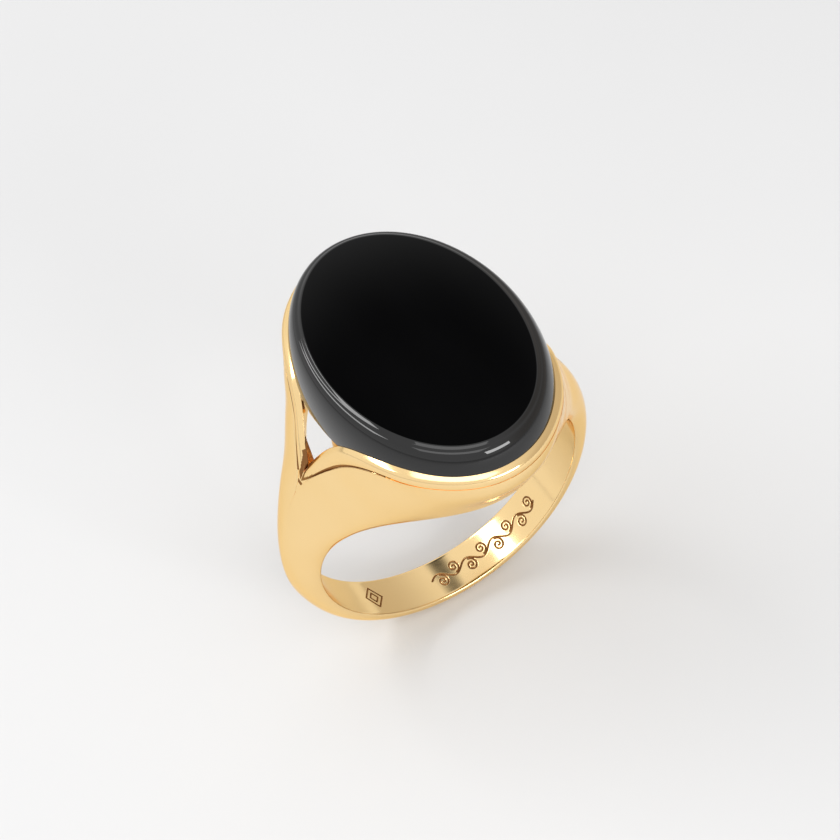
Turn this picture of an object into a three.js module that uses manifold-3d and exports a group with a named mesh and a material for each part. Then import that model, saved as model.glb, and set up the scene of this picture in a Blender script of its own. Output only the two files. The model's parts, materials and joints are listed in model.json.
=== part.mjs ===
// Signet ring with an oval black onyx, built as a bench jeweller assembles it.
// Millimetres. Origin at the centre of the finger hole, +Z up through the stone,
// Y along the finger, X from shoulder to shoulder. Every shape is symmetric in X and in Y.
import * as THREE from "three";
import { mergeVertices } from "three/addons/utils/BufferGeometryUtils.js";
import Module from "manifold-3d";

const wasm = await Module();
wasm.setup();

// ---- driving dimensions --------------------------------------------------------------------
const BORE_RADIUS = 9.25; // finger hole, 18.5 mm across
const BAND_HALF_WIDTH = 1.57; // at the bottom of the hoop
const HEAD_HALF_LENGTH = 8.65; // bore edge under the ends of the stone
const FLARE = 5.8; // how late the band widens into the head
const CREST_BOTTOM = 10.55; // outer radius at the bottom of the hoop
const CREST_RISE = 1.0; // added to it where the shoulders split
const EDGE_WALL = 0.14; // plain wall beside the bore before the dome starts
const SHOULDER_FULLNESS = 0.75; // how far the cheeks swell beyond the bore's edge
const FULL_SPREAD = 3; // a dome this wide or wider leaves its top level
const DOME_REACH = 0.56; // share of the dome's width that stays nearly level
const DOME_SAG = 0.04; // share of its height lost over that width
const NARROW_PULL = 0.3; // added to both on a narrow dome
const EDGE_PULL = 0.5; // share of its height over which the cheek stands upright
const SPLIT_ANGLE = 40.5; // degrees above the X axis where the shoulders split
const GAP = 0.12; // clearance between neighbouring pieces

const TABLE_LENGTH = 17.4; // flat top of the stone, along Y
const TABLE_WIDTH = 11.68; // and along X
const TABLE_Z = 15.18;
const STONE_BASE_Z = 12.18;
const STONE_FLARE = 1.05; // how far the side spreads beyond the table's edge
const BEVEL_WIDTH = 0.2;
const BEVEL_DROP = 0.12;
const BASE_INSET = 0.15; // the base is ground back under the stone's widest line
const BASE_RISE = 0.06; // over this height

const HOLLOW_HALF_X = 7.45; // oval hollow under the stone
const HOLLOW_HALF_Y = 7.3;
const SEAT_TOP = 12.0;
const SEAT_HEIGHT = 0.5;
const SEAT_OUTER = 0.6; // offsets from the table's outline
const SEAT_INNER = -0.45;
const CEMENT_THICKNESS = 0.1;
const CEMENT_CLEARANCE = 0.02; // thin skin of air between bed and seat

const RAIL_TOP_WIDTH = 0.42; // bezel rail: width of its sloping top
const RAIL_FOOT_WIDTH = 0.26;
const RAIL_LIP = 0.22; // how far its inner edge stands above its outer edge
const RAIL_BULGE = 0.1;

const BAR_WIDTH = 0.9; // gallery bars across the hollow
const BAR_THICKNESS = 0.95;
const SIDE_BAR_Y = 4.2;
const POST_X = 5.75;
const POST_DEPTH = 0.7; // along X
const POST_WIDTH = 0.8; // along Y

// Line where the rail meets the shoulder, from the split (y = 0) to the end of the head.
const RAIL_FOOT = [
  [8.76, 0, 7.5],
  [8.42, 0.6, 8.4],
  [7.95, 1.35, 9.4],
  [7.4, 2.25, 10.45],
  [6.85, 3.6, 11.8],
  [6.12, 5.4, 12.75],
  [5.22, 7.0, 12.92],
  [3.8, 8.5, 12.95],
  [2.0, 9.62, 12.95],
  [0, 10.03, 12.95],
];
// Outer edge of the rail's top, point for point above the line before.
const RAIL_CROWN = [
  [8.34, 0, 8.4],
  [8.1, 0.5, 9.25],
  [7.75, 1.15, 10.35],
  [7.25, 2.0, 11.6],
  [6.72, 3.45, 12.8],
  [6.03, 5.28, 13.35],
  [5.15, 6.92, 13.5],
  [3.77, 8.43, 13.52],
  [1.98, 9.55, 13.52],
  [0, 9.96, 13.52],
];
// Side view of the V between the shoulders: half width against height.
const NOTCH = [
  [0.0, 8.45],
  [0.35, 9.35],
  [1.0, 10.5],
  [1.85, 11.75],
  [3.3, 13.0],
  [4.5, 13.9],
];
const NOTCH_INNER_X = 6.2;
const NOTCH_LENGTH = 4; // along X, out through the shoulders

const DOME_STEPS = 7; // segments of each smooth shape
const SIDE_STEPS = 7;
const OUTLINE_STEPS = 64;
const ARC_STEPS = 12;
const SHANK_STATIONS = 48;
const ARCH_STATIONS = 48;
const RAIL_STATIONS = 48;
const SHANK_MARGIN = 0.2; // degrees left free at each end of the hoop
const RAIL_MARGIN = 0.006; // share of the line left free where the two rails meet
const CUTTER_OVERRUN = 0.3; // how far a cutter runs on past the mid plane

const degrees = Math.PI / 180;

// ---- geometry helpers ----------------------------------------------------------------------
function toSolid(geometry) {
  const bare = geometry.index ? geometry.toNonIndexed() : geometry.clone();
  bare.deleteAttribute("normal");
  bare.deleteAttribute("uv");
  const merged = mergeVertices(bare, 1e-4);
  return new wasm.Manifold(
    new wasm.Mesh({
      numProp: 3,
      vertProperties: new Float32Array(merged.attributes.position.array),
      triVerts: new Uint32Array(merged.index.array),
    }),
  );
}

function toGeometry(solid) {
  const mesh = solid.getMesh();
  const geometry = new THREE.BufferGeometry();
  geometry.setAttribute("position", new THREE.BufferAttribute(mesh.vertProperties, 3));
  geometry.setIndex(new THREE.BufferAttribute(mesh.triVerts, 1));
  geometry.computeVertexNormals();
  return geometry;
}

// Triangles of a flat outline, wound the same way as the outline.
function capFaces(outline) {
  const faces = THREE.ShapeUtils.triangulateShape([...outline], []);
  const area = faces.reduce(
    (sum, face) => sum + THREE.ShapeUtils.area(face.map((i) => outline[i])),
    0,
  );
  const sameWay = area > 0 === THREE.ShapeUtils.area(outline) > 0;
  return sameWay ? faces : faces.map(([a, b, c]) => [c, b, a]);
}

// Closed skin over a row of rings, each the same number of Vector3 in the same order.
function loft(rings, flatOf) {
  const count = rings[0].length;
  const positions = rings.flat().flatMap((p) => [p.x, p.y, p.z]);
  const index = [];
  for (let r = 0; r + 1 < rings.length; r++) {
    for (let i = 0; i < count; i++) {
      const j = (i + 1) % count;
      const a = r * count + i;
      const b = r * count + j;
      index.push(a, b, b + count, a, b + count, a + count);
    }
  }
  const last = (rings.length - 1) * count;
  for (const [a, b, c] of capFaces(rings[0].map(flatOf))) index.push(c, b, a);
  for (const [a, b, c] of capFaces(rings.at(-1).map(flatOf))) index.push(last + a, last + b, last + c);
  const geometry = new THREE.BufferGeometry();
  geometry.setAttribute("position", new THREE.Float32BufferAttribute(positions, 3));
  geometry.setIndex(index);
  const solid = toSolid(geometry);
  return solid.volume() < 0 ? toSolid(flipped(geometry)) : solid;
}

function flipped(geometry) {
  const turned = geometry.clone();
  const order = turned.index.array;
  for (let i = 0; i < order.length; i += 3) {
    [order[i + 1], order[i + 2]] = [order[i + 2], order[i + 1]];
  }
  return turned;
}

// Drops the thin crumbs that crossing cuts can leave beside the piece.
function largestBody(solid) {
  return solid.decompose().reduce((a, b) => (a.volume() > b.volume() ? a : b));
}

// Copy of a solid on the other side of a plane through the origin.
function mirrored(solid, axis) {
  const mesh = solid.getMesh();
  const geometry = new THREE.BufferGeometry();
  const positions = Float32Array.from(mesh.vertProperties);
  for (let i = axis; i < positions.length; i += 3) positions[i] = -positions[i];
  geometry.setAttribute("position", new THREE.BufferAttribute(positions, 3));
  geometry.setIndex(new THREE.BufferAttribute(Uint32Array.from(mesh.triVerts), 1));
  return toSolid(flipped(geometry));
}

function prism(outline, z0, z1) {
  const shape = new THREE.Shape(outline);
  const geometry = new THREE.ExtrudeGeometry(shape, { depth: z1 - z0, bevelEnabled: false });
  return toSolid(geometry.translate(0, 0, z0));
}

function block(x0, x1, y0, y1, z0, z1) {
  const geometry = new THREE.BoxGeometry(x1 - x0, y1 - y0, z1 - z0);
  return toSolid(geometry.translate((x0 + x1) / 2, (y0 + y1) / 2, (z0 + z1) / 2));
}

// ---- shared outlines -----------------------------------------------------------------------
const smoothLine = (points) =>
  new THREE.CatmullRomCurve3(
    points.map((p) => new THREE.Vector3(...p)),
    false,
    "centripetal",
  );

// Outline of the stone's table, moved outwards by an offset.
function tableOutline(offset) {
  const halfX = TABLE_WIDTH / 2;
  const halfY = TABLE_LENGTH / 2;
  return Array.from({ length: OUTLINE_STEPS }, (_, i) => {
    const angle = (i / OUTLINE_STEPS) * 2 * Math.PI;
    const normal = new THREE.Vector2(Math.cos(angle) / halfX, Math.sin(angle) / halfY).normalize();
    return new THREE.Vector2(
      halfX * Math.cos(angle) + offset * normal.x,
      halfY * Math.sin(angle) + offset * normal.y,
    );
  });
}

function ovalOutline(halfX, halfY) {
  const closed = new THREE.EllipseCurve(0, 0, halfX, halfY).getPoints(OUTLINE_STEPS);
  return closed.slice(0, OUTLINE_STEPS);
}

// Half width of the bore's edge at an angle about the finger axis.
function halfWidth(angle) {
  const lift = (1 + Math.sin(angle)) / 2;
  return BAND_HALF_WIDTH + (HEAD_HALF_LENGTH - BAND_HALF_WIDTH) * lift ** FLARE;
}

// Outer radius on the mid plane, below the split.
function crestRadius(angle) {
  const lift = (1 + Math.sin(angle)) / (1 + Math.sin(SPLIT_ANGLE * degrees));
  return CREST_BOTTOM + CREST_RISE * lift ** 2;
}

// Dome from a top point (y, r) down to the bore's edge, front side, as [y, r] pairs.
function domeProfile(top, angle) {
  const foot = new THREE.Vector2(-halfWidth(angle), BORE_RADIUS + EDGE_WALL);
  const spread = Math.max(top.x - foot.x, 0);
  const steep = 1 - Math.min(spread / FULL_SPREAD, 1);
  const drop = top.y - foot.y;
  const fullness = SHOULDER_FULLNESS * Math.max(Math.sin(angle), 0) ** 2;
  const pull = NARROW_PULL * steep;
  const curve = new THREE.CubicBezierCurve(
    top,
    new THREE.Vector2(top.x - DOME_REACH * spread - pull, top.y - (DOME_SAG + pull) * drop),
    new THREE.Vector2(foot.x - fullness, foot.y + EDGE_PULL * drop),
    foot,
  );
  return curve.getPoints(DOME_STEPS);
}

// Point of the section plane at an angle: y along the finger, r away from its axis.
const atAngle = (y, r, angle) => new THREE.Vector3(r * Math.cos(angle), y, r * Math.sin(angle));

// ---- hoop and shoulders --------------------------------------------------------------------
function shank() {
  const start = (SHANK_MARGIN - SPLIT_ANGLE - 180) * degrees;
  const end = (SPLIT_ANGLE - SHANK_MARGIN) * degrees;
  const rings = [];
  for (let i = 0; i <= SHANK_STATIONS; i++) {
    const angle = start + ((end - start) * i) / SHANK_STATIONS;
    const front = domeProfile(new THREE.Vector2(0, crestRadius(angle)), angle);
    const half = [new THREE.Vector2(-halfWidth(angle), BORE_RADIUS), ...front.toReversed()];
    const outline = [...half, ...half.slice(0, -1).toReversed().map((p) => new THREE.Vector2(-p.x, p.y))];
    rings.push(outline.map((p) => atAngle(p.x, p.y, angle)));
  }
  return loft(rings, (p) => new THREE.Vector2(p.y, Math.hypot(p.x, p.z)));
}

// A guide line and its mirror image, from the split on the +X side to the one on the -X side.
function throughHead(points) {
  const other = points.slice(0, -1).toReversed();
  return smoothLine([...points, ...other.map(([x, y, z]) => [-x, y, z])]);
}

const footLine = throughHead(RAIL_FOOT);
const crownLine = throughHead(RAIL_CROWN);

// Front half of the ring's upper part, from split to split.
function shoulderSections() {
  const rings = [];
  for (let i = 0; i <= ARCH_STATIONS; i++) {
    const foot = footLine.getPoint(i / ARCH_STATIONS);
    const angle = Math.atan2(foot.z, foot.x);
    const radius = Math.hypot(foot.x, foot.z);
    const top = new THREE.Vector2(Math.min(-foot.y, -GAP), radius);
    const dome = domeProfile(top, angle);
    const outline = [
      new THREE.Vector2(-GAP / 2, BORE_RADIUS),
      new THREE.Vector2(-halfWidth(angle), BORE_RADIUS),
      ...dome.toReversed(),
      new THREE.Vector2(-GAP / 2, radius),
    ];
    rings.push(outline.map((p) => atAngle(p.x, p.y, angle)));
  }
  return rings;
}

function hollow() {
  return prism(ovalOutline(HOLLOW_HALF_X, HOLLOW_HALF_Y), 0, TABLE_Z);
}

// Triangular opening between the two shoulders, through both sides of the head.
function notch() {
  const right = NOTCH.map(([y, z]) => new THREE.Vector2(y, z));
  const left = right.slice(1).map((p) => new THREE.Vector2(-p.x, p.y)).toReversed();
  const shape = new THREE.Shape([...right, ...left]);
  const cutter = new THREE.ExtrudeGeometry(shape, { depth: NOTCH_LENGTH, bevelEnabled: false });
  // the drawing's x and y become Y and Z, and its depth runs along X
  const turn = new THREE.Matrix4().makeBasis(
    new THREE.Vector3(0, 1, 0),
    new THREE.Vector3(0, 0, 1),
    new THREE.Vector3(1, 0, 0),
  );
  const solid = toSolid(cutter.applyMatrix4(turn).translate(NOTCH_INNER_X, 0, 0));
  return solid.add(mirrored(solid, 0));
}

function frontArch() {
  const body = loft(shoulderSections(), (p) => new THREE.Vector2(p.y, Math.hypot(p.x, p.z)));
  const stonePocket = prism(tableOutline(STONE_FLARE + GAP / 2), STONE_BASE_Z - GAP, TABLE_Z);
  const seatPocket = prism(tableOutline(SEAT_OUTER + GAP), SEAT_TOP - SEAT_HEIGHT - GAP, TABLE_Z);
  const cuts = [hollow(), notch(), stonePocket, seatPocket, railBar(GAP / 2)];
  return largestBody(cuts.reduce((rest, cut) => rest.subtract(cut), body));
}

// ---- bezel rails ---------------------------------------------------------------------------
// The rail's bar from split to split, grown by a clearance to cut its rebate.
function railBar(clearance) {
  const lift = clearance > 0 ? -clearance : GAP;
  const rings = [];
  for (let i = 0; i <= RAIL_STATIONS; i++) {
    const share = RAIL_MARGIN + ((1 - 2 * RAIL_MARGIN) * i) / RAIL_STATIONS;
    const foot = footLine.getPoint(share);
    const crown = crownLine.getPoint(share);
    const along = footLine.getTangent(share);
    const outward = new THREE.Vector3(-along.y, along.x, 0).normalize();
    if (outward.dot(foot) < 0) outward.negate();
    const place = (base, across, up) => {
      const p = base.clone().addScaledVector(outward, across);
      return new THREE.Vector3(p.x, Math.min(-p.y, -GAP / 2), p.z + up);
    };
    rings.push([
      place(foot, clearance, lift),
      place(foot.clone().lerp(crown, 0.5), RAIL_BULGE + clearance, 0),
      place(crown, clearance, clearance),
      place(crown, -RAIL_TOP_WIDTH - clearance, RAIL_LIP + clearance),
      place(foot, -RAIL_FOOT_WIDTH - clearance, lift),
    ]);
  }
  if (clearance > 0) {
    // a cutter runs on past the mid plane, so that it leaves no skin there
    const past = (ring) => ring.map((p) => new THREE.Vector3(p.x, CUTTER_OVERRUN, p.z));
    rings.unshift(past(rings[0]));
    rings.push(past(rings.at(-1)));
  }
  return loft(rings, (p) => new THREE.Vector2(Math.abs(p.x), p.z));
}

function frontRail() {
  return railBar(0).subtract(stone(GAP / 2));
}

// ---- stone and its seat --------------------------------------------------------------------
// Flat table, small bevel and a polished side that spreads to the base, grown by a clearance.
function stone(clearance = 0) {
  const sections = [[STONE_FLARE - BASE_INSET, STONE_BASE_Z - clearance]];
  for (let i = 0; i < SIDE_STEPS; i++) {
    const turn = (i / SIDE_STEPS) * (Math.PI / 2);
    const offset = BEVEL_WIDTH + (STONE_FLARE - BEVEL_WIDTH) * Math.cos(turn);
    const height = (TABLE_Z - BEVEL_DROP - STONE_BASE_Z - BASE_RISE) * Math.sin(turn);
    sections.push([offset, STONE_BASE_Z + BASE_RISE + height]);
  }
  sections.push([BEVEL_WIDTH, TABLE_Z - BEVEL_DROP], [0, TABLE_Z + clearance]);
  const rings = sections.map(([offset, z]) =>
    tableOutline(offset + clearance).map((p) => new THREE.Vector3(p.x, p.y, z)),
  );
  return loft(rings, (p) => new THREE.Vector2(p.x, p.y));
}

function ovalRing(outer, inner, z0, z1) {
  return prism(tableOutline(outer), z0, z1).subtract(prism(tableOutline(inner), z0 - 1, z1 + 1));
}

function seatRing() {
  return ovalRing(SEAT_OUTER, SEAT_INNER, SEAT_TOP - SEAT_HEIGHT, SEAT_TOP);
}

function cementBed() {
  const bottom = SEAT_TOP + CEMENT_CLEARANCE;
  return ovalRing(SEAT_OUTER - GAP, SEAT_INNER + GAP, bottom, bottom + CEMENT_THICKNESS);
}

// ---- gallery under the stone ---------------------------------------------------------------
// Arched bar across the hollow, following the finger hole.
function galleryBar(y) {
  const edge = (Math.abs(y) + BAR_WIDTH / 2) / HOLLOW_HALF_Y;
  const wall = HOLLOW_HALF_X * Math.sqrt(1 - edge ** 2);
  const shankTop = BORE_RADIUS * Math.cos(SPLIT_ANGLE * degrees);
  const reach = Math.min(wall, shankTop) - GAP;
  const outer = BORE_RADIUS + BAR_THICKNESS;
  const outerEnd = Math.acos(reach / outer);
  const innerEnd = Math.acos(reach / BORE_RADIUS);
  const shape = new THREE.Shape();
  shape.absarc(0, 0, outer, outerEnd, Math.PI - outerEnd, false);
  shape.absarc(0, 0, BORE_RADIUS, Math.PI - innerEnd, innerEnd, true);
  const geometry = new THREE.ExtrudeGeometry(shape, {
    depth: BAR_WIDTH,
    bevelEnabled: false,
    curveSegments: ARC_STEPS,
  });
  // the drawing's x and y become X and Z, and its depth runs towards -Y
  const turn = new THREE.Matrix4().makeBasis(
    new THREE.Vector3(1, 0, 0),
    new THREE.Vector3(0, 0, 1),
    new THREE.Vector3(0, -1, 0),
  );
  return toSolid(geometry.applyMatrix4(turn).translate(0, y + BAR_WIDTH / 2, 0));
}

// Upright between the middle bar and the stone's seat.
function supportPost() {
  const outer = BORE_RADIUS + BAR_THICKNESS + GAP;
  const x0 = POST_X - POST_DEPTH / 2;
  const x1 = POST_X + POST_DEPTH / 2;
  const foot = Math.sqrt(outer ** 2 - x0 ** 2);
  return block(x0, x1, -POST_WIDTH / 2, POST_WIDTH / 2, foot, SEAT_TOP - SEAT_HEIGHT - GAP);
}

// ---- materials and assembly ----------------------------------------------------------------
function gold(color, roughness) {
  return new THREE.MeshStandardMaterial({ color, roughness, metalness: 1 });
}

const polishedGold = gold(0xf2c57c, 0.12);
const innerGold = gold(0xd9a05c, 0.25);
const onyx = new THREE.MeshStandardMaterial({ color: 0x050505, roughness: 0.05, metalness: 0 });
const cement = new THREE.MeshStandardMaterial({ color: 0x8a8378, roughness: 0.8, metalness: 0 });

const ring = new THREE.Group();

function addPiece(name, solid, material) {
  const mesh = new THREE.Mesh(toGeometry(solid), material);
  mesh.name = name;
  ring.add(mesh);
}

const arch = frontArch();
const rail = frontRail();
const post = supportPost();

addPiece("shank", shank(), polishedGold);
addPiece("front_shoulder_arch", arch, polishedGold);
addPiece("back_shoulder_arch", mirrored(arch, 1), polishedGold);
addPiece("front_bezel_rail", rail, polishedGold);
addPiece("back_bezel_rail", mirrored(rail, 1), polishedGold);
addPiece("gallery_bar_front", galleryBar(-SIDE_BAR_Y), innerGold);
addPiece("gallery_bar_middle", galleryBar(0), innerGold);
addPiece("gallery_bar_back", galleryBar(SIDE_BAR_Y), innerGold);
addPiece("support_post_right", post, innerGold);
addPiece("support_post_left", mirrored(post, 0), innerGold);
addPiece("stone_seat", seatRing(), innerGold);
addPiece("cement_bed", cementBed(), cement);
addPiece("onyx", stone(), onyx);

export default ring;
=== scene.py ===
"""Signet ring with an oval black stone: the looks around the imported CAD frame.

Lengths below are in millimetres and become metres when a mesh is made. The origin is the centre of
the finger hole, +Z goes up through the stone, Y runs along the finger and X from shoulder to shoulder.
"""

import json
import math

import bmesh
import bpy
import numpy as np
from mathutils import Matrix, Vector

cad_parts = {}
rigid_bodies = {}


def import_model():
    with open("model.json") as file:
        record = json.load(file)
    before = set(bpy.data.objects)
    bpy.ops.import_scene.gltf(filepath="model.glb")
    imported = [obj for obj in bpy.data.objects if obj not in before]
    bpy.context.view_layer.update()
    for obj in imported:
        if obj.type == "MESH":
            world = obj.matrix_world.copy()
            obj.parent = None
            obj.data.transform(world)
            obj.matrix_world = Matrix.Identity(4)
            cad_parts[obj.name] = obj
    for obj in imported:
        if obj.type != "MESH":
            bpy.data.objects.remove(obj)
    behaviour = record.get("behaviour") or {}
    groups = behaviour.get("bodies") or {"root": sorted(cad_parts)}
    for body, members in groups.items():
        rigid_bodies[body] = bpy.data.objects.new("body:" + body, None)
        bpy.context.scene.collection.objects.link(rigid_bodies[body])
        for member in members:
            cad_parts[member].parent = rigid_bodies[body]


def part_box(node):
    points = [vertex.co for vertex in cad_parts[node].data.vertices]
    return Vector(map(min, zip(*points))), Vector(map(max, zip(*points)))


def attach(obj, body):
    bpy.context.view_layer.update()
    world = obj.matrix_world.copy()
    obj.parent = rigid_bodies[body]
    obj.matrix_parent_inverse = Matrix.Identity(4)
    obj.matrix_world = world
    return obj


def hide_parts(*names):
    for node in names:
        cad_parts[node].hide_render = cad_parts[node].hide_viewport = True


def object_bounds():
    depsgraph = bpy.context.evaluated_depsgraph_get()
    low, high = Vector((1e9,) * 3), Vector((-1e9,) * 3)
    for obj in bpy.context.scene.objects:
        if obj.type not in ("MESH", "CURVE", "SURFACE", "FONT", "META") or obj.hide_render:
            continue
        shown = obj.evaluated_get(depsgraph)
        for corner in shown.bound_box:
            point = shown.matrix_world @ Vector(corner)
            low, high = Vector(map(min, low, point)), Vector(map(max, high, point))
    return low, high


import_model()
cad_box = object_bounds()

MM = 0.001
DEG = math.pi / 180

# ---- driving dimensions --------------------------------------------------------------------
BORE_RADIUS = 9.25  # finger hole, 18.5 mm across
BAND_HALF_WIDTH = 1.57  # at the bottom of the hoop
HEAD_HALF_LENGTH = 8.65  # bore edge under the ends of the stone
FLARE = 5.8  # how late the band widens into the head
CREST_BOTTOM = 10.55  # outer radius at the bottom of the hoop
CREST_RISE = 1.0  # added to it where the shoulders split
SPLIT_ANGLE = 40.5  # degrees above the X axis where the shoulders split
EDGE_ROUND = 0.14  # rounding between the bore and the dome
SHOULDER_FULLNESS = 0.75
FULL_SPREAD = 3.0
DOME_REACH = 0.56  # the handles of the curve from the bore edge to the shoulder's top
DOME_SAG = 0.04
NARROW_PULL = 0.3
EDGE_PULL = 0.5
SPLIT_EASE = 0.5  # half width over which the top opens out of the split
DOME_STEPS = 26
ROUND_STEPS = 5
INNER_STEPS = 12
COARSE_STEP, FINE_STEP, FINE_REACH = 1.0, 0.5, 4  # degrees between sections, finer near the split
BLEND_REACH = 14  # degrees either side of the split over which the crease is smoothed
BLEND_SPREAD = 3

onyx_low, onyx_high = (np.array(corner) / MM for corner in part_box("onyx"))
STONE_FLARE = 1.05  # how far the stone's side spreads beyond its table
TABLE_HALF_X = onyx_high[0] - STONE_FLARE
TABLE_HALF_Y = onyx_high[1] - STONE_FLARE
TABLE_Z = onyx_high[2]
STONE_BASE_Z = onyx_low[2]
BEVEL_WIDTH = 0.2
BEVEL_DROP = 0.12
FOOT_INSET, FOOT_RISE = 0.15, 0.06  # eased lower edge
STONE_SIDE_STEPS = 26

BAR_ROUND = 0.1  # rounding of the gallery bars' edges
BAR_STATIONS = 60
POST_ROUND = 0.08
POST_SINK = 0.12
POCKET_GAP = 0.02  # round the stone's foot
POCKET_DEPTH = 0.7  # below it
HOLLOW_HALF_X = 7.45  # oval hollow under the stone
HOLLOW_HALF_Y = 7.3
GROOVE_WIDTH = 0.13  # groove between the shoulder and the rail; its deeper part is darkened with painted shade
GROOVE_DEPTH = 0.12
GROOVE_FADE_FROM, GROOVE_FADE_SPAN = 14, 22  # degrees from the middle of the head
FAINT_GROOVE = 0.2  # share of the full size that is left at the ends of the stone
GROOVE_SHADE_SHARE = 0.45  # share of the full depth from which the groove and the rail's foot get painted shade
RAIL_GAP = 0.05  # from each rail's end to the mid plane

RAIL_TOP_WIDTH = 0.42
RAIL_FOOT_WIDTH = 0.26
RAIL_LIP = 0.22
RAIL_BULGE = 0.1
RAIL_SINK = 0.02  # how far the rail's foot goes into the floor of the groove
RAIL_ROUNDS = (0, 0.3, 0.16, 0.07, 0)  # rounding of its five corners
RAIL_STATIONS = 260
GUIDE_POINTS = 2001  # on each guide line
OUTLINE_POINTS = 256  # round the stone

# Line where the rail meets the shoulder, from the split (y = 0) to the end of the head.
RAIL_FOOT = [
    (8.76, 0, 7.5),
    (8.42, 0.6, 8.4),
    (7.95, 1.35, 9.4),
    (7.4, 2.25, 10.45),
    (6.85, 3.6, 11.8),
    (6.12, 5.4, 12.75),
    (5.22, 7.0, 12.92),
    (3.8, 8.5, 12.95),
    (2.0, 9.62, 12.95),
    (0, 10.03, 12.95),
]
# Outer edge of the rail's top, point for point above the line before.
RAIL_CROWN = [
    (8.34, 0, 8.4),
    (8.1, 0.5, 9.25),
    (7.75, 1.15, 10.35),
    (7.25, 2.0, 11.6),
    (6.72, 3.45, 12.8),
    (6.03, 5.28, 13.35),
    (5.15, 6.92, 13.5),
    (3.77, 8.43, 13.52),
    (1.98, 9.55, 13.52),
    (0, 9.96, 13.52),
]
# Side view of the V between the shoulders: half width against height.
NOTCH = [(0.0, 8.45), (0.35, 9.35), (1.0, 10.5), (1.85, 11.75), (3.3, 13.0), (4.5, 13.9)]
NOTCH_INNER_X = 6.2
NOTCH_LENGTH = 4

# Engraving inside the hoop.
ENGRAVED_FROM, ENGRAVED_TO = -137, -38  # degrees about the finger axis
ENGRAVED_HALF_WIDTH = 1.2
STROKE_HALF_WIDTH = 0.075
STROKE_DEPTH = 0.05
REFINE_CUTS = 5
VINE_CENTRE, VINE_LENGTH, VINE_WAVES = -70, 9.0, 4
VINE_SWING = 0.34
CURL_REACH = 0.5
CURL_TURNS = 1.6
CURL_CLOSING = 0.85  # share of the reach that a curl loses from its start to its middle
MARK_CENTRE = -127
MARK_HEIGHTS = (0.85, 0.4)  # half heights of the two nested lozenges
MARK_SLIMNESS = 0.8

GLANCING_GOLD = (1.0, 0.85, 0.6, 1)  # gold keeps some colour even at a glancing angle
ONYX_IOR = 1.54


# ---- curves --------------------------------------------------------------------------------
def smooth_line(points, count):
    """Points along a curve of continuous curvature through the given ones, evenly spaced."""
    points = np.array(points, float)
    steps = np.linalg.norm(np.diff(points, axis=0), axis=1)
    knots = np.concatenate([[0], np.cumsum(steps)])
    h = np.diff(knots)
    n = len(points)
    matrix = np.eye(n)
    right = np.zeros_like(points)
    for i in range(1, n - 1):
        matrix[i, i - 1 : i + 2] = h[i - 1] / 6, (h[i - 1] + h[i]) / 3, h[i] / 6
        right[i] = (points[i + 1] - points[i]) / h[i] - (points[i] - points[i - 1]) / h[i - 1]
    bend = np.linalg.solve(matrix, right)
    at = np.linspace(0, knots[-1], count)
    k = np.clip(np.searchsorted(knots, at, side="right") - 1, 0, n - 2)
    a = ((knots[k + 1] - at) / h[k])[:, None]
    b = 1 - a
    hk = h[k][:, None]
    return (
        a * points[k]
        + b * points[k + 1]
        + ((a**3 - a) * bend[k] + (b**3 - b) * bend[k + 1]) * hk**2 / 6
    )


def through_head(points, count):
    """A guide line and its mirror image, from the split at +X to the one at -X."""
    other = [(-x, y, z) for x, y, z in points[-2::-1]]
    return smooth_line(list(points) + other, count)


def rounded(points, radii, steps=5):
    """Closed outline with each corner replaced by a short curve of the given reach."""
    points = np.array(points, float)
    out = []
    for i, (corner, reach) in enumerate(zip(points, radii)):
        if reach <= 0:
            out.append(corner)
            continue
        before = points[i - 1] - corner
        after = points[(i + 1) % len(points)] - corner
        start = corner + before / np.linalg.norm(before) * min(reach, np.linalg.norm(before) * 0.49)
        end = corner + after / np.linalg.norm(after) * min(reach, np.linalg.norm(after) * 0.49)
        for t in np.linspace(0, 1, steps):
            out.append((1 - t) ** 2 * start + 2 * t * (1 - t) * corner + t**2 * end)
    return np.array(out)


def table_outline(offset, segments=OUTLINE_POINTS):
    angle = np.arange(segments) * 2 * math.pi / segments
    normal = np.stack([np.cos(angle) / TABLE_HALF_X, np.sin(angle) / TABLE_HALF_Y], 1)
    normal /= np.linalg.norm(normal, axis=1)[:, None]
    oval = np.stack([TABLE_HALF_X * np.cos(angle), TABLE_HALF_Y * np.sin(angle)], 1)
    return oval + offset * normal


def oval_outline(half_x, half_y, segments=OUTLINE_POINTS):
    angle = np.arange(segments) * 2 * math.pi / segments
    return np.stack([half_x * np.cos(angle), half_y * np.sin(angle)], 1)


# ---- mesh helpers --------------------------------------------------------------------------
def mesh_object(name, vertices, faces):
    mesh = bpy.data.meshes.new(name)
    mesh.from_pydata((np.array(vertices) * MM).tolist(), [], [list(map(int, f)) for f in faces])
    mesh.validate()
    piece = bpy.data.objects.new(name, mesh)
    bpy.context.scene.collection.objects.link(piece)
    return piece


def loft(name, rings, closed_row=False, caps=True):
    """Skin over a row of closed rings, each with the same number of points."""
    count = len(rings[0])
    rows = len(rings)
    vertices = np.concatenate(rings)
    faces = []
    for r in range(rows if closed_row else rows - 1):
        a = r * count
        b = ((r + 1) % rows) * count
        for i in range(count):
            j = (i + 1) % count
            faces.append((a + i, a + j, b + j, b + i))
    if caps and not closed_row:
        faces.append(range(count - 1, -1, -1))
        faces.append(range((rows - 1) * count, rows * count))
    piece = mesh_object(name, vertices, faces)
    edit(piece, lambda bm: bmesh.ops.recalc_face_normals(bm, faces=bm.faces))
    return piece


def edit(piece, change):
    bm = bmesh.new()
    bm.from_mesh(piece.data)
    change(bm)
    bm.to_mesh(piece.data)
    bm.free()
    piece.data.update()


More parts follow.
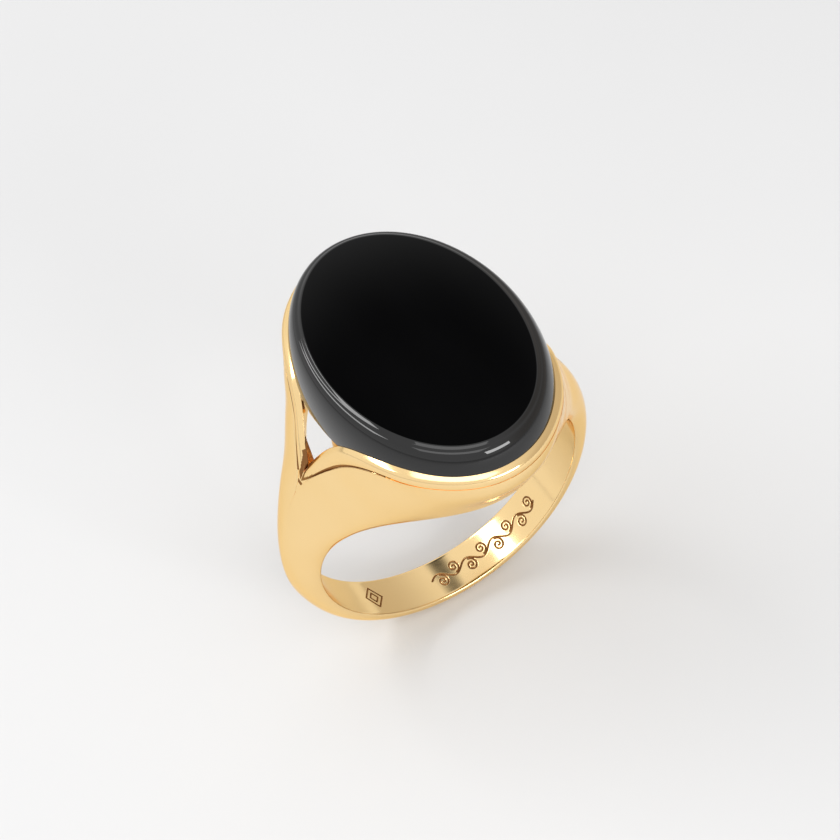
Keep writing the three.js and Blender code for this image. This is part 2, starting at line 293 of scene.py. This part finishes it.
def weld(piece, distance=1e-7):
    edit(piece, lambda bm: bmesh.ops.remove_doubles(bm, verts=bm.verts, dist=distance))


def smooth(piece, angle=32):
    """Smooth shading that stays crisp across edges sharper than the angle in degrees."""
    for face in piece.data.polygons:
        face.use_smooth = True
    piece.data.set_sharp_from_angle(angle=angle * DEG)


def apply_modifiers(piece):
    evaluated = piece.evaluated_get(bpy.context.evaluated_depsgraph_get())
    mesh = bpy.data.meshes.new_from_object(evaluated)
    piece.modifiers.clear()
    piece.data = mesh


def cut(piece, cutter):
    boolean = piece.modifiers.new("cut", "BOOLEAN")
    boolean.operation = "DIFFERENCE"
    boolean.solver = "EXACT"
    boolean.object = cutter
    apply_modifiers(piece)
    bpy.data.objects.remove(cutter)


def prism(name, outline, z0, z1):
    rings = [np.column_stack([outline, np.full(len(outline), z)]) for z in (z0, z1)]
    return loft(name, rings)


# ---- hoop and shoulders --------------------------------------------------------------------
foot_line = through_head(RAIL_FOOT, GUIDE_POINTS)
crown_line = through_head(RAIL_CROWN, GUIDE_POINTS)
foot_angles = np.arctan2(foot_line[:, 2], foot_line[:, 0])
foot_radii = np.hypot(foot_line[:, 0], foot_line[:, 2])


def half_width(angle):
    lift = (1 + math.sin(angle)) / 2
    return BAND_HALF_WIDTH + (HEAD_HALF_LENGTH - BAND_HALF_WIDTH) * lift**FLARE


def crest_radius(angle):
    lift = (1 + math.sin(angle)) / (1 + math.sin(SPLIT_ANGLE * DEG))
    return CREST_BOTTOM + CREST_RISE * lift**2


def top_of(angle):
    """Half width and radius of the shoulder's upper edge at an angle about the finger axis."""
    if SPLIT_ANGLE * DEG < angle < (180 - SPLIT_ANGLE) * DEG:
        y = float(np.interp(angle, foot_angles, foot_line[:, 1]))
        return max(y, 0), float(np.interp(angle, foot_angles, foot_radii))
    return 0, crest_radius(angle)


def groove_at(angle):
    """Width and depth of the groove under the rail: sharp near the split, faint at the ends."""
    above = abs(angle - math.pi / 2) / DEG
    share = min(max((above - GROOVE_FADE_FROM) / GROOVE_FADE_SPAN, FAINT_GROOVE), 1)
    return GROOVE_WIDTH * share, GROOVE_DEPTH * share


def half_section(angle):
    """Right-hand half of a section as (y, r) from the mid plane's bore point to its top point."""
    width = half_width(angle)
    top_y, top_r = top_of(angle)
    foot = np.array([width, BORE_RADIUS + EDGE_ROUND])
    spread = max(width - top_y, 0)
    steep = 1 - min(spread / FULL_SPREAD, 1)
    drop = top_r - foot[1]
    fullness = SHOULDER_FULLNESS * max(math.sin(angle), 0) ** 2
    split = min(top_y / SPLIT_EASE, 1)
    pull = NARROW_PULL * steep
    handles = [
        foot,
        foot + [fullness, EDGE_PULL * drop],
        np.array([top_y + DOME_REACH * spread + pull, top_r - (DOME_SAG * split + pull) * drop]),
        np.array([top_y, top_r]),
    ]
    bore = [(width * t, BORE_RADIUS) for t in np.linspace(0, 1, INNER_STEPS, endpoint=False)]
    bore = [(min(y, width - EDGE_ROUND), r) for y, r in bore]
    edge = []
    for t in np.linspace(0, 1, ROUND_STEPS, endpoint=False):
        start = np.array([width - EDGE_ROUND, BORE_RADIUS])
        corner = np.array([width, BORE_RADIUS])
        edge.append((1 - t) ** 2 * start + 2 * t * (1 - t) * corner + t**2 * foot)
    dome = []
    for t in np.linspace(0, 1, DOME_STEPS):
        a, b, c, d = handles
        dome.append((1 - t) ** 3 * a + 3 * t * (1 - t) ** 2 * b + 3 * t**2 * (1 - t) * c + t**3 * d)
    wide, deep = (size * split for size in groove_at(angle))
    groove = [(top_y - 0.4 * wide, top_r - 0.15 * deep), (top_y - wide, top_r - deep), (0, top_r - deep)]
    return bore + edge + dome + groove


def blended_section(angle):
    """Section averaged with its neighbours near the split, so that no crease shows there."""
    half = np.array(half_section(angle))
    away = min(abs(angle - SPLIT_ANGLE * DEG), abs(angle - (180 - SPLIT_ANGLE) * DEG)) / DEG
    share = min(max((BLEND_REACH - away) / (BLEND_REACH / 2), 0), 1)
    if share == 0:
        return half
    steps = np.arange(-3 * BLEND_SPREAD, 3 * BLEND_SPREAD + 1)
    weights = np.exp(-0.5 * (steps / BLEND_SPREAD) ** 2)
    weights /= weights.sum()
    mean = sum(w * np.array(half_section(angle + step * DEG)) for w, step in zip(weights, steps))
    return (1 - share) * half + share * mean


def section_ring(angle):
    half = [tuple(point) for point in blended_section(angle)]
    outline = half + [(-y, r) for y, r in half[-2:0:-1]]
    cosine, sine = math.cos(angle), math.sin(angle)
    return np.array([(r * cosine, y, r * sine) for y, r in outline])


def ring_body():
    """Hoop and shoulders in one sweep, with the hollow, the V notches and the stone's pocket cut."""
    angles = []
    angle = -90.0
    while angle < 270 - 1e-6:
        angles.append(angle)
        near_split = min(abs(angle - SPLIT_ANGLE), abs(angle - 180 + SPLIT_ANGLE)) < FINE_REACH
        angle += FINE_STEP if near_split else COARSE_STEP
    body = loft("hoop_and_shoulders", [section_ring(a * DEG) for a in angles], closed_row=True)
    weld(body)
    cut(body, prism("hollow", oval_outline(HOLLOW_HALF_X, HOLLOW_HALF_Y), 0, TABLE_Z))
    for side in (-1, 1):
        cut(body, notch_cutter(side))
    pocket = table_outline(STONE_FLARE + POCKET_GAP)
    cut(body, prism("pocket", pocket, STONE_BASE_Z - POCKET_DEPTH, TABLE_Z))
    weld(body)
    return body


notch_line = smooth_line([(0, y, z) for y, z in NOTCH], 40)[:, 1:]


def notch_cutter(side):
    outline = np.concatenate([notch_line, notch_line[:0:-1] * [-1, 1]])
    rings = []
    for x in (NOTCH_INNER_X, NOTCH_INNER_X + NOTCH_LENGTH):
        rings.append(np.column_stack([np.full(len(outline), side * x), outline]))
    return loft("notch", rings)


# ---- engraving inside the hoop -------------------------------------------------------------
def vine_strokes():
    """Waving stem with a curl in each bend: lines of (distance along the hoop, y)."""
    wave = VINE_LENGTH / VINE_WAVES
    along = np.linspace(-VINE_LENGTH / 2, VINE_LENGTH / 2, 160)
    strokes = [np.column_stack([along, VINE_SWING * np.sin(2 * math.pi * along / wave)])]
    turn = np.linspace(0, 1, 40)
    for bend in range(2 * VINE_WAVES):
        side = 1 if bend % 2 else -1
        start = -VINE_LENGTH / 2 + wave * (bend + 0.5) / 2
        radius = CURL_REACH * (1 - CURL_CLOSING * turn)
        angle = side * (-0.5 + 2 * CURL_TURNS * turn) * math.pi
        centre = np.array([start + 0.12, side * 0.32])
        curl = centre + np.column_stack([radius * 0.8 * np.cos(angle), radius * np.sin(angle)])
        strokes.append(curl)
    return [line + [VINE_CENTRE * DEG * BORE_RADIUS, 0] for line in strokes]


def mark_strokes():
    """Two nested lozenges."""
    middle = MARK_CENTRE * DEG * BORE_RADIUS
    strokes = []
    for size in MARK_HEIGHTS:
        slim = MARK_SLIMNESS * size
        corners = np.array([(-slim, 0), (0, size), (slim, 0), (0, -size), (-slim, 0)])
        strokes.append(corners + [middle, 0])
    return strokes


def stroke_distance(points, strokes):
    """Distance from each point to the nearest stroke."""
    nearest = np.full(len(points), 9.0)
    for line in strokes:
        for a, b in zip(line[:-1], line[1:]):
            reach = np.clip(((points - a) @ (b - a)) / ((b - a) @ (b - a)), 0, 1)
            gap = np.linalg.norm(points - (a + reach[:, None] * (b - a)), axis=1)
            nearest = np.minimum(nearest, gap)
    return nearest


def bore_place(point):
    """Distance along the hoop and y of a point, or None when it isn't on the engraved strip."""
    x, y, z = (c / MM for c in point)
    angle = math.atan2(z, x) / DEG
    on_bore = abs(math.hypot(x, z) - BORE_RADIUS) < 0.01
    inside = ENGRAVED_FROM <= angle <= ENGRAVED_TO and abs(y) < ENGRAVED_HALF_WIDTH
    return (angle * DEG * BORE_RADIUS, y) if on_bore and inside else None


def engrave(piece):
    """Cuts a generic vine and lozenge into the bore; their faces get the second material."""
    bm = bmesh.new()
    bm.from_mesh(piece.data)
    faces = [f for f in bm.faces if all(bore_place(v.co) for v in f.verts)]
    edges = {e for f in faces for e in f.edges}
    bmesh.ops.subdivide_edges(bm, edges=list(edges), cuts=REFINE_CUTS, use_grid_fill=True)
    bm.verts.ensure_lookup_table()
    found = [(v, bore_place(v.co)) for v in bm.verts]
    found = [(v, place) for v, place in found if place]
    strokes = vine_strokes() + mark_strokes()
    gaps = stroke_distance(np.array([place for v, place in found]), strokes)
    for (vertex, place), gap in zip(found, gaps):
        slope = max(1 - gap / STROKE_HALF_WIDTH, 0)
        radius = (BORE_RADIUS + STROKE_DEPTH * slope * slope * (3 - 2 * slope)) * MM
        scale = radius / math.hypot(vertex.co.x, vertex.co.z)
        vertex.co.x *= scale
        vertex.co.z *= scale
    for face in bm.faces:
        face.material_index = face_slot(face)
    bm.to_mesh(piece.data)
    bm.free()


def face_slot(face):
    """0 polished, 1 painted shade in the groove and darker engraved strokes, 2 the filed walls of the V,
    darkened with painted shade.
    """
    x, y, z = face.calc_center_median() / MM
    y, radius = abs(y), math.hypot(x, z)
    if z < 0:
        deepest = max(math.hypot(v.co.x, v.co.z) for v in face.verts) / MM
        stroke = BORE_RADIUS + 0.3 * STROKE_DEPTH < deepest < BORE_RADIUS + 1.2 * STROKE_DEPTH
        return int(stroke and y < ENGRAVED_HALF_WIDTH and len(face.verts) == 4)
    # walls of the V: filed gold with painted shade
    wall = float(np.interp(z, notch_line[:, 1], notch_line[:, 0]))
    if abs(x) > NOTCH_INNER_X and abs(y - wall) < 0.02:
        return 2
    # deeper faces of the groove: painted shade
    angle = math.atan2(z, x)
    top_y, top_r = top_of(angle)
    wide, deep = groove_at(angle)
    in_groove = top_y - wide - 0.01 < y < top_y - 0.2 * wide and top_r - deep - 0.02 < radius
    return int(in_groove and deep > GROOVE_SHADE_SHARE * GROOVE_DEPTH)


# ---- bezel rails ---------------------------------------------------------------------------
def bezel_rail(name, side):
    """Rail along one half of the stone; its ends and the faces in the groove get painted shade."""
    last = len(foot_line) - 1
    stations = np.linspace(2, last - 2, RAIL_STATIONS).astype(int)
    rings = []
    for k in stations:
        foot = foot_line[k]
        crown = crown_line[k]
        along = foot_line[k + 2] - foot_line[k - 2]
        outward = np.array([-along[1], along[0], 0])
        outward /= np.linalg.norm(outward)
        if outward @ foot < 0:
            outward = -outward
        up = np.array([0, 0, 1.0])
        wide, deep = groove_at(math.atan2(foot[2], foot[0]))
        corners = [
            foot - outward * wide - up * (deep + RAIL_SINK),
            foot * 0.5 + crown * 0.5 + outward * (RAIL_BULGE - 0.04),
            crown,
            crown - outward * RAIL_TOP_WIDTH + up * RAIL_LIP,
            foot - outward * (wide + RAIL_FOOT_WIDTH + 0.1) - up * (deep + RAIL_SINK),
        ]
        ring = rounded(corners, RAIL_ROUNDS, steps=7)
        ring[:, 1] = np.maximum(ring[:, 1], RAIL_GAP)
        rings.append(ring * [1, side, 1])
    rail = loft(name, rings)
    # facing ends and faces low in the groove get the dark copy of the gold, painted shade
    for face in rail.data.polygons:
        x, y, z = face.center / MM
        angle = math.atan2(z, x)
        deep = groove_at(angle)[1]
        low = math.hypot(x, z) < top_of(angle)[1] + 0.01
        end = abs(y) < RAIL_GAP + 0.001
        face.material_index = int(end or (low and deep > GROOVE_SHADE_SHARE * GROOVE_DEPTH))
    return rail


# ---- stone, seat and gallery ---------------------------------------------------------------
def onyx_stone():
    """Rounded side, small bevel and flat table, as (offset from the table's outline, height)."""
    sections = [(STONE_FLARE - FOOT_INSET, STONE_BASE_Z)]
    foot_z = STONE_BASE_Z + FOOT_RISE
    rise = TABLE_Z - BEVEL_DROP - foot_z
    for turn in np.linspace(0, math.pi / 2, STONE_SIDE_STEPS, endpoint=False):
        offset = BEVEL_WIDTH + (STONE_FLARE - BEVEL_WIDTH) * math.cos(turn)
        sections.append((offset, foot_z + rise * math.sin(turn)))
    sections += [
        (BEVEL_WIDTH, TABLE_Z - BEVEL_DROP),
        (0.13, TABLE_Z - 0.085),
        (0.04, TABLE_Z - 0.018),
        (0.0, TABLE_Z - 0.003),
        (-0.03, TABLE_Z),
        (-0.08, TABLE_Z),
        (-2.0, TABLE_Z),
    ]
    rings = [np.column_stack([table_outline(o), np.full(OUTLINE_POINTS, z)]) for o, z in sections]
    return loft("onyx_oval", rings)


def oval_hoop(name, outer, inner, z0, z1, reach):
    """Ring of rectangular section with eased corners that follows the stone's outline."""
    rings = []
    inside, outside = table_outline(inner, 160), table_outline(outer, 160)
    for a, b in zip(inside, outside):
        corners = [(*a, z0), (*b, z0), (*b, z1), (*a, z1)]
        rings.append(rounded(corners, [reach] * 4, steps=4))
    return loft(name, rings, closed_row=True)


def gallery_bar(name, node):
    """Bar that follows the finger hole from one side of the hollow to the other."""
    low, high = (np.array(corner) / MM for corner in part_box(node))
    inner, outer = BORE_RADIUS, high[2]
    reach = high[0]
    rings = []
    for share in np.linspace(0, 1, BAR_STATIONS + 1):
        inner_end = math.acos(reach / inner)
        outer_end = math.acos(reach / outer)
        a = inner_end + (math.pi - 2 * inner_end) * share
        b = outer_end + (math.pi - 2 * outer_end) * share
        corners = [
            (inner * math.cos(a), low[1], inner * math.sin(a)),
            (inner * math.cos(a), high[1], inner * math.sin(a)),
            (outer * math.cos(b), high[1], outer * math.sin(b)),
            (outer * math.cos(b), low[1], outer * math.sin(b)),
        ]
        rings.append(rounded(corners, [BAR_ROUND] * 4, steps=4))
    return loft(name, rings)


def support_post(name, node):
    """Upright whose top goes a little way into the seat."""
    low, high = (np.array(corner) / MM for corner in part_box(node))
    rings = []
    (x0, y0, z0), (x1, y1, z1) = low, high
    for z in (z0, z1 + POST_SINK):
        corners = [(x0, y0, z), (x1, y0, z), (x1, y1, z), (x0, y1, z)]
        rings.append(rounded(corners, [POST_ROUND] * 4, steps=4))
    return loft(name, rings)


# ---- materials -----------------------------------------------------------------------------
def node_material(name):
    material = bpy.data.materials.new(name)
    material.use_nodes = True
    nodes, links = material.node_tree.nodes, material.node_tree.links
    return material, nodes, links, nodes["Principled BSDF"]


def noise(nodes, links, coordinates, scale, detail=3.0, roughness=0.5):
    texture = nodes.new("ShaderNodeTexNoise")
    texture.inputs["Scale"].default_value = scale
    texture.inputs["Detail"].default_value = detail
    texture.inputs["Roughness"].default_value = roughness
    links.new(coordinates, texture.inputs["Vector"])
    return texture.outputs["Fac"]


def mapped(nodes, links, value, low, high, low_in=0.3, high_in=0.7):
    ramp = nodes.new("ShaderNodeMapRange")
    ramp.inputs["From Min"].default_value = low_in
    ramp.inputs["From Max"].default_value = high_in
    ramp.inputs["To Min"].default_value = low
    ramp.inputs["To Max"].default_value = high
    links.new(value, ramp.inputs["Value"])
    return ramp.outputs["Result"]


def stretched(nodes, links, coordinates, scale):
    mapping = nodes.new("ShaderNodeMapping")
    mapping.inputs["Scale"].default_value = scale
    links.new(coordinates, mapping.inputs["Vector"])
    return mapping.outputs["Vector"]


def gold_material(name, light, deep, roughness, scratch):
    """Polished gold: slight colour drift, uneven polish and hairline scratches from wear."""
    material, nodes, links, shader = node_material(name)
    place = nodes.new("ShaderNodeTexCoord").outputs["Object"]
    drift = noise(nodes, links, place, 220, 2)
    blend = nodes.new("ShaderNodeMix")
    blend.data_type = "RGBA"
    blend.inputs["A"].default_value = (*deep, 1)
    blend.inputs["B"].default_value = (*light, 1)
    links.new(mapped(nodes, links, drift, 0, 1), blend.inputs["Factor"])
    links.new(blend.outputs["Result"], shader.inputs["Base Color"])
    shader.inputs["Metallic"].default_value = 1.0
    shader.inputs["Specular Tint"].default_value = GLANCING_GOLD
    polish = noise(nodes, links, place, 900, 4)
    links.new(
        mapped(nodes, links, polish, roughness * 0.85, roughness * 1.2), shader.inputs["Roughness"]
    )
    hairlines = noise(nodes, links, stretched(nodes, links, place, (1.0, 14.0, 1.6)), 2600, 2)
    cross = noise(nodes, links, stretched(nodes, links, place, (9.0, 1.2, 5.0)), 2100, 2)
    both = nodes.new("ShaderNodeMath")
    both.operation = "ADD"
    links.new(hairlines, both.inputs[0])
    links.new(cross, both.inputs[1])
    bump = nodes.new("ShaderNodeBump")
    bump.inputs["Strength"].default_value = scratch
    bump.inputs["Distance"].default_value = 0.000002
    links.new(both.outputs["Value"], bump.inputs["Height"])
    links.new(bump.outputs["Normal"], shader.inputs["Normal"])
    return material


def filed_and_shaded_gold_material():
    """Walls of the V that no buff reaches: rough, with the file's marks running up and down, in darker
    gold that is painted shade.
    """
    material, nodes, links, shader = node_material("filed_gold_painted_shade")
    place = nodes.new("ShaderNodeTexCoord").outputs["Object"]
    marks = noise(nodes, links, stretched(nodes, links, place, (7, 7, 0.35)), 700, 2)
    blend = nodes.new("ShaderNodeMix")
    # the dark browns are painted shade inside the V; the file marks make them striped
    blend.data_type = "RGBA"
    blend.inputs["A"].default_value = (0.66, 0.3, 0.11, 1)
    blend.inputs["B"].default_value = (0.94, 0.6, 0.28, 1)
    links.new(mapped(nodes, links, marks, 0, 1, 0.38, 0.6), blend.inputs["Factor"])
    links.new(blend.outputs["Result"], shader.inputs["Base Color"])
    links.new(mapped(nodes, links, marks, 0.38, 0.24), shader.inputs["Roughness"])
    shader.inputs["Metallic"].default_value = 1.0
    shader.inputs["Specular Tint"].default_value = GLANCING_GOLD
    return material


def onyx_material():
    """Opaque black stone under a mirror polish, with a breath of cloud and fine wear."""
    material, nodes, links, shader = node_material("polished_onyx")
    place = nodes.new("ShaderNodeTexCoord").outputs["Object"]
    cloud = noise(nodes, links, stretched(nodes, links, place, (1, 0.35, 2)), 160, 4)
    blend = nodes.new("ShaderNodeMix")
    blend.data_type = "RGBA"
    blend.inputs["A"].default_value = (0.0008, 0.0008, 0.0009, 1)
    blend.inputs["B"].default_value = (0.002, 0.002, 0.0022, 1)
    links.new(mapped(nodes, links, cloud, 0, 1), blend.inputs["Factor"])
    links.new(blend.outputs["Result"], shader.inputs["Base Color"])
    shader.inputs["IOR"].default_value = ONYX_IOR
    wear = noise(nodes, links, place, 1500, 5)
    links.new(mapped(nodes, links, wear, 0.01, 0.025), shader.inputs["Roughness"])
    bump = nodes.new("ShaderNodeBump")
    bump.inputs["Strength"].default_value = 0.04
    bump.inputs["Distance"].default_value = 0.000001
    links.new(noise(nodes, links, place, 4000, 2), bump.inputs["Height"])
    links.new(bump.outputs["Normal"], shader.inputs["Normal"])
    return material


def cement_material():
    material, nodes, links, shader = node_material("setting_cement")
    place = nodes.new("ShaderNodeTexCoord").outputs["Object"]
    blend = nodes.new("ShaderNodeMix")
    blend.data_type = "RGBA"
    blend.inputs["A"].default_value = (0.16, 0.13, 0.1, 1)
    blend.inputs["B"].default_value = (0.3, 0.26, 0.2, 1)
    links.new(noise(nodes, links, place, 1800, 4), blend.inputs["Factor"])
    links.new(blend.outputs["Result"], shader.inputs["Base Color"])
    links.new(mapped(nodes, links, noise(nodes, links, place, 2500), 0.6, 0.9), shader.inputs["Roughness"])
    return material


def floor_material():
    material, nodes, links, shader = node_material("pale_floor")
    place = nodes.new("ShaderNodeTexCoord").outputs["Object"]
    blend = nodes.new("ShaderNodeMix")
    blend.data_type = "RGBA"
    blend.inputs["A"].default_value = (0.655, 0.658, 0.664, 1)
    blend.inputs["B"].default_value = (0.67, 0.673, 0.679, 1)
    links.new(noise(nodes, links, place, 40), blend.inputs["Factor"])
    links.new(blend.outputs["Result"], shader.inputs["Base Color"])
    shader.inputs["Roughness"].default_value = 0.9
    shader.inputs["Specular IOR Level"].default_value = 0.0
    return material


# ---- camera and studio ---------------------------------------------------------------------
AZIMUTH, ELEVATION, ROLL = -24.15, 51.25, -8.08  # degrees
DISTANCE = 107.24
LENS, SENSOR = 72.843, 36.0
AIM_RIGHT, AIM_UP = -1.118, 4.602  # from the origin to the aim point, across and up the picture


PALE_WALL = (0.94, 0.94, 0.94)
SHADED_WALL = (0.6, 0.56, 0.52)  # the darker side of the room, to the right
DARK_CEILING = (0.02, 0.02, 0.02)  # soft dark patch that the stone's flat table mirrors

# soft boxes: name, azimuth, elevation, distance, width, height (mm), brightness
SOFT_BOXES = [
    ("key", -40, 62, 320, 260, 160, 1.6),
    ("window", 10, 20, 200, 100, 60, 9.0),
    ("side_strip", -130, 44, 240, 220, 50, 6.0),
]


def direction(azimuth, elevation):
    """Unit vector towards a viewer; azimuth 0 is in front (-Y), counted towards +X."""
    a, e = azimuth * DEG, elevation * DEG
    return Vector((math.sin(a) * math.cos(e), -math.cos(a) * math.cos(e), math.sin(e)))


def make_camera():
    back = direction(AZIMUTH, ELEVATION)
    level = Vector((math.cos(AZIMUTH * DEG), math.sin(AZIMUTH * DEG), 0))
    rise = back.cross(level)
    cosine, sine = math.cos(ROLL * DEG), math.sin(ROLL * DEG)
    right = cosine * level + sine * rise
    up = cosine * rise - sine * level
    place = AIM_RIGHT * right + AIM_UP * up + DISTANCE * back
    data = bpy.data.cameras.new("camera")
    data.lens = LENS
    data.sensor_width = SENSOR
    data.clip_start = 0.001
    data.clip_end = 20
    camera = bpy.data.objects.new("camera", data)
    matrix = camera.matrix_world.copy()
    for row in range(3):
        matrix[row][0], matrix[row][1], matrix[row][2] = right[row], up[row], back[row]
        matrix[row][3] = place[row] * MM
    camera.matrix_world = matrix
    bpy.context.scene.collection.objects.link(camera)
    bpy.context.scene.camera = camera
    return camera


def aimed(place, target):
    back = (place - target).normalized()
    return back.to_track_quat("Z", "Y").to_euler()


def soft_box(name, azimuth, elevation, distance, width, height, brightness):
    """Soft box that faces the stone and lights everything."""
    data = bpy.data.lights.new(name, "AREA")
    data.shape = "RECTANGLE"
    data.size = width * MM
    data.size_y = height * MM
    data.energy = brightness * data.size * data.size_y * math.pi
    light = bpy.data.objects.new(name, data)
    target = Vector((0, 0, TABLE_Z)) * MM
    light.location = target + direction(azimuth, elevation) * distance * MM
    light.rotation_euler = aimed(light.location, target)
    light.visible_camera = False
    bpy.context.scene.collection.objects.link(light)


def facing(nodes, links, place, azimuth, elevation, low, high):
    """0 to 1 as a direction of the sky turns from low to high cosine with the given one."""
    dot = nodes.new("ShaderNodeVectorMath")
    dot.operation = "DOT_PRODUCT"
    dot.inputs[1].default_value = direction(azimuth, elevation)
    links.new(place, dot.inputs[0])
    ramp = nodes.new("ShaderNodeMapRange")
    ramp.interpolation_type = "SMOOTHSTEP"
    ramp.inputs["From Min"].default_value = low
    ramp.inputs["From Max"].default_value = high
    links.new(dot.outputs["Value"], ramp.inputs["Value"])
    return ramp.outputs["Result"]


def world_light():
    """Even pale light, a shaded wall to the right and a dark ceiling patch opposite the camera."""
    world = bpy.data.worlds.new("studio")
    world.use_nodes = True
    nodes, links = world.node_tree.nodes, world.node_tree.links
    place = nodes.new("ShaderNodeTexCoord").outputs["Generated"]
    layers = [
        (SHADED_WALL, (85, 0, 0.2, 0.85)),
        (DARK_CEILING, (180 + AZIMUTH, ELEVATION, 0.985, 0.9985)),
    ]
    color = None
    for tone, lobe in layers:
        blend = nodes.new("ShaderNodeMix")
        blend.data_type = "RGBA"
        blend.inputs["A"].default_value = (*PALE_WALL, 1)
        blend.inputs["B"].default_value = (*tone, 1)
        if color:
            links.new(color, blend.inputs["A"])
        links.new(facing(nodes, links, place, *lobe), blend.inputs["Factor"])
        color = blend.outputs["Result"]
    links.new(color, nodes["Background"].inputs["Color"])
    bpy.context.scene.world = world


def make_floor(level):
    size = 3000
    corners = [(-size, -size, level), (size, -size, level), (size, size, level), (-size, size, level)]
    floor = mesh_object("floor", corners, [(0, 1, 2, 3)])
    floor.data.materials.append(floor_material())


# ---- assembly ------------------------------------------------------------------------------
def place_piece(piece, material, slot, *nodes):
    indices = [face.material_index for face in piece.data.polygons]
    piece.data.materials.clear()
    piece.data.materials.append(material)
    piece.data.polygons.foreach_set("material_index", indices)
    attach(piece, "root")
    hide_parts(*nodes)


make_camera()
polished = gold_material("polished_gold", (0.98, 0.715, 0.36), (0.96, 0.69, 0.335), 0.12, 0.1)
# Rougher gold for the less polished gallery under the stone; its darker colour is painted shade.
shaded_gallery_gold = gold_material("gallery_gold", (0.95, 0.66, 0.3), (0.88, 0.58, 0.25), 0.2, 0.25)

body = ring_body()
engrave(body)
smooth(body)
place_piece(body, polished, "polished_gold", "shank", "front_shoulder_arch", "back_shoulder_arch")
# Dark copy of the gold: painted shade in the groove under the rails and on the rails' ends, and the colour
# of the engraved strokes.
shade_and_line_gold = gold_material("painted_shade_and_line_gold", (0.36, 0.17, 0.06), (0.22, 0.1, 0.035), 0.35, 0.3)
body.data.materials.append(shade_and_line_gold)
body.data.materials.append(filed_and_shaded_gold_material())
for name, side in (("front", -1), ("back", 1)):
    rail = bezel_rail(name + "_rail", side)
    smooth(rail, 50)
    place_piece(rail, polished, "polished_gold", name + "_bezel_rail")
    rail.data.materials.append(shade_and_line_gold)
stone = onyx_stone()
smooth(stone, 50)
place_piece(stone, onyx_material(), "onyx", "onyx")
for where in ("front", "middle", "back"):
    bar = gallery_bar("gallery_bar_%s_polished" % where, "gallery_bar_" + where)
    smooth(bar, 50)
    place_piece(bar, shaded_gallery_gold, "gallery_gold", "gallery_bar_" + where)
for where in ("right", "left"):
    post = support_post("support_post_%s_polished" % where, "support_post_" + where)
    smooth(post, 50)
    place_piece(post, shaded_gallery_gold, "gallery_gold", "support_post_" + where)
seat_low, seat_high = (np.array(corner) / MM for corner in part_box("stone_seat"))
seat = oval_hoop("seat_ring", 0.6, -0.45, seat_low[2], seat_high[2], 0.08)
smooth(seat, 50)
place_piece(seat, shaded_gallery_gold, "gallery_gold", "stone_seat")
cement = cement_material()
for node in bpy.data.objects:
    if node.type == "MESH" and node.name == "cement_bed":
        for index in range(len(node.data.materials)):
            node.data.materials[index] = cement

make_floor(cad_box[0][2] / MM - 0.01)
world_light()
for box in SOFT_BOXES:
    soft_box(*box)
bpy.context.scene.view_settings.view_transform = "Standard"
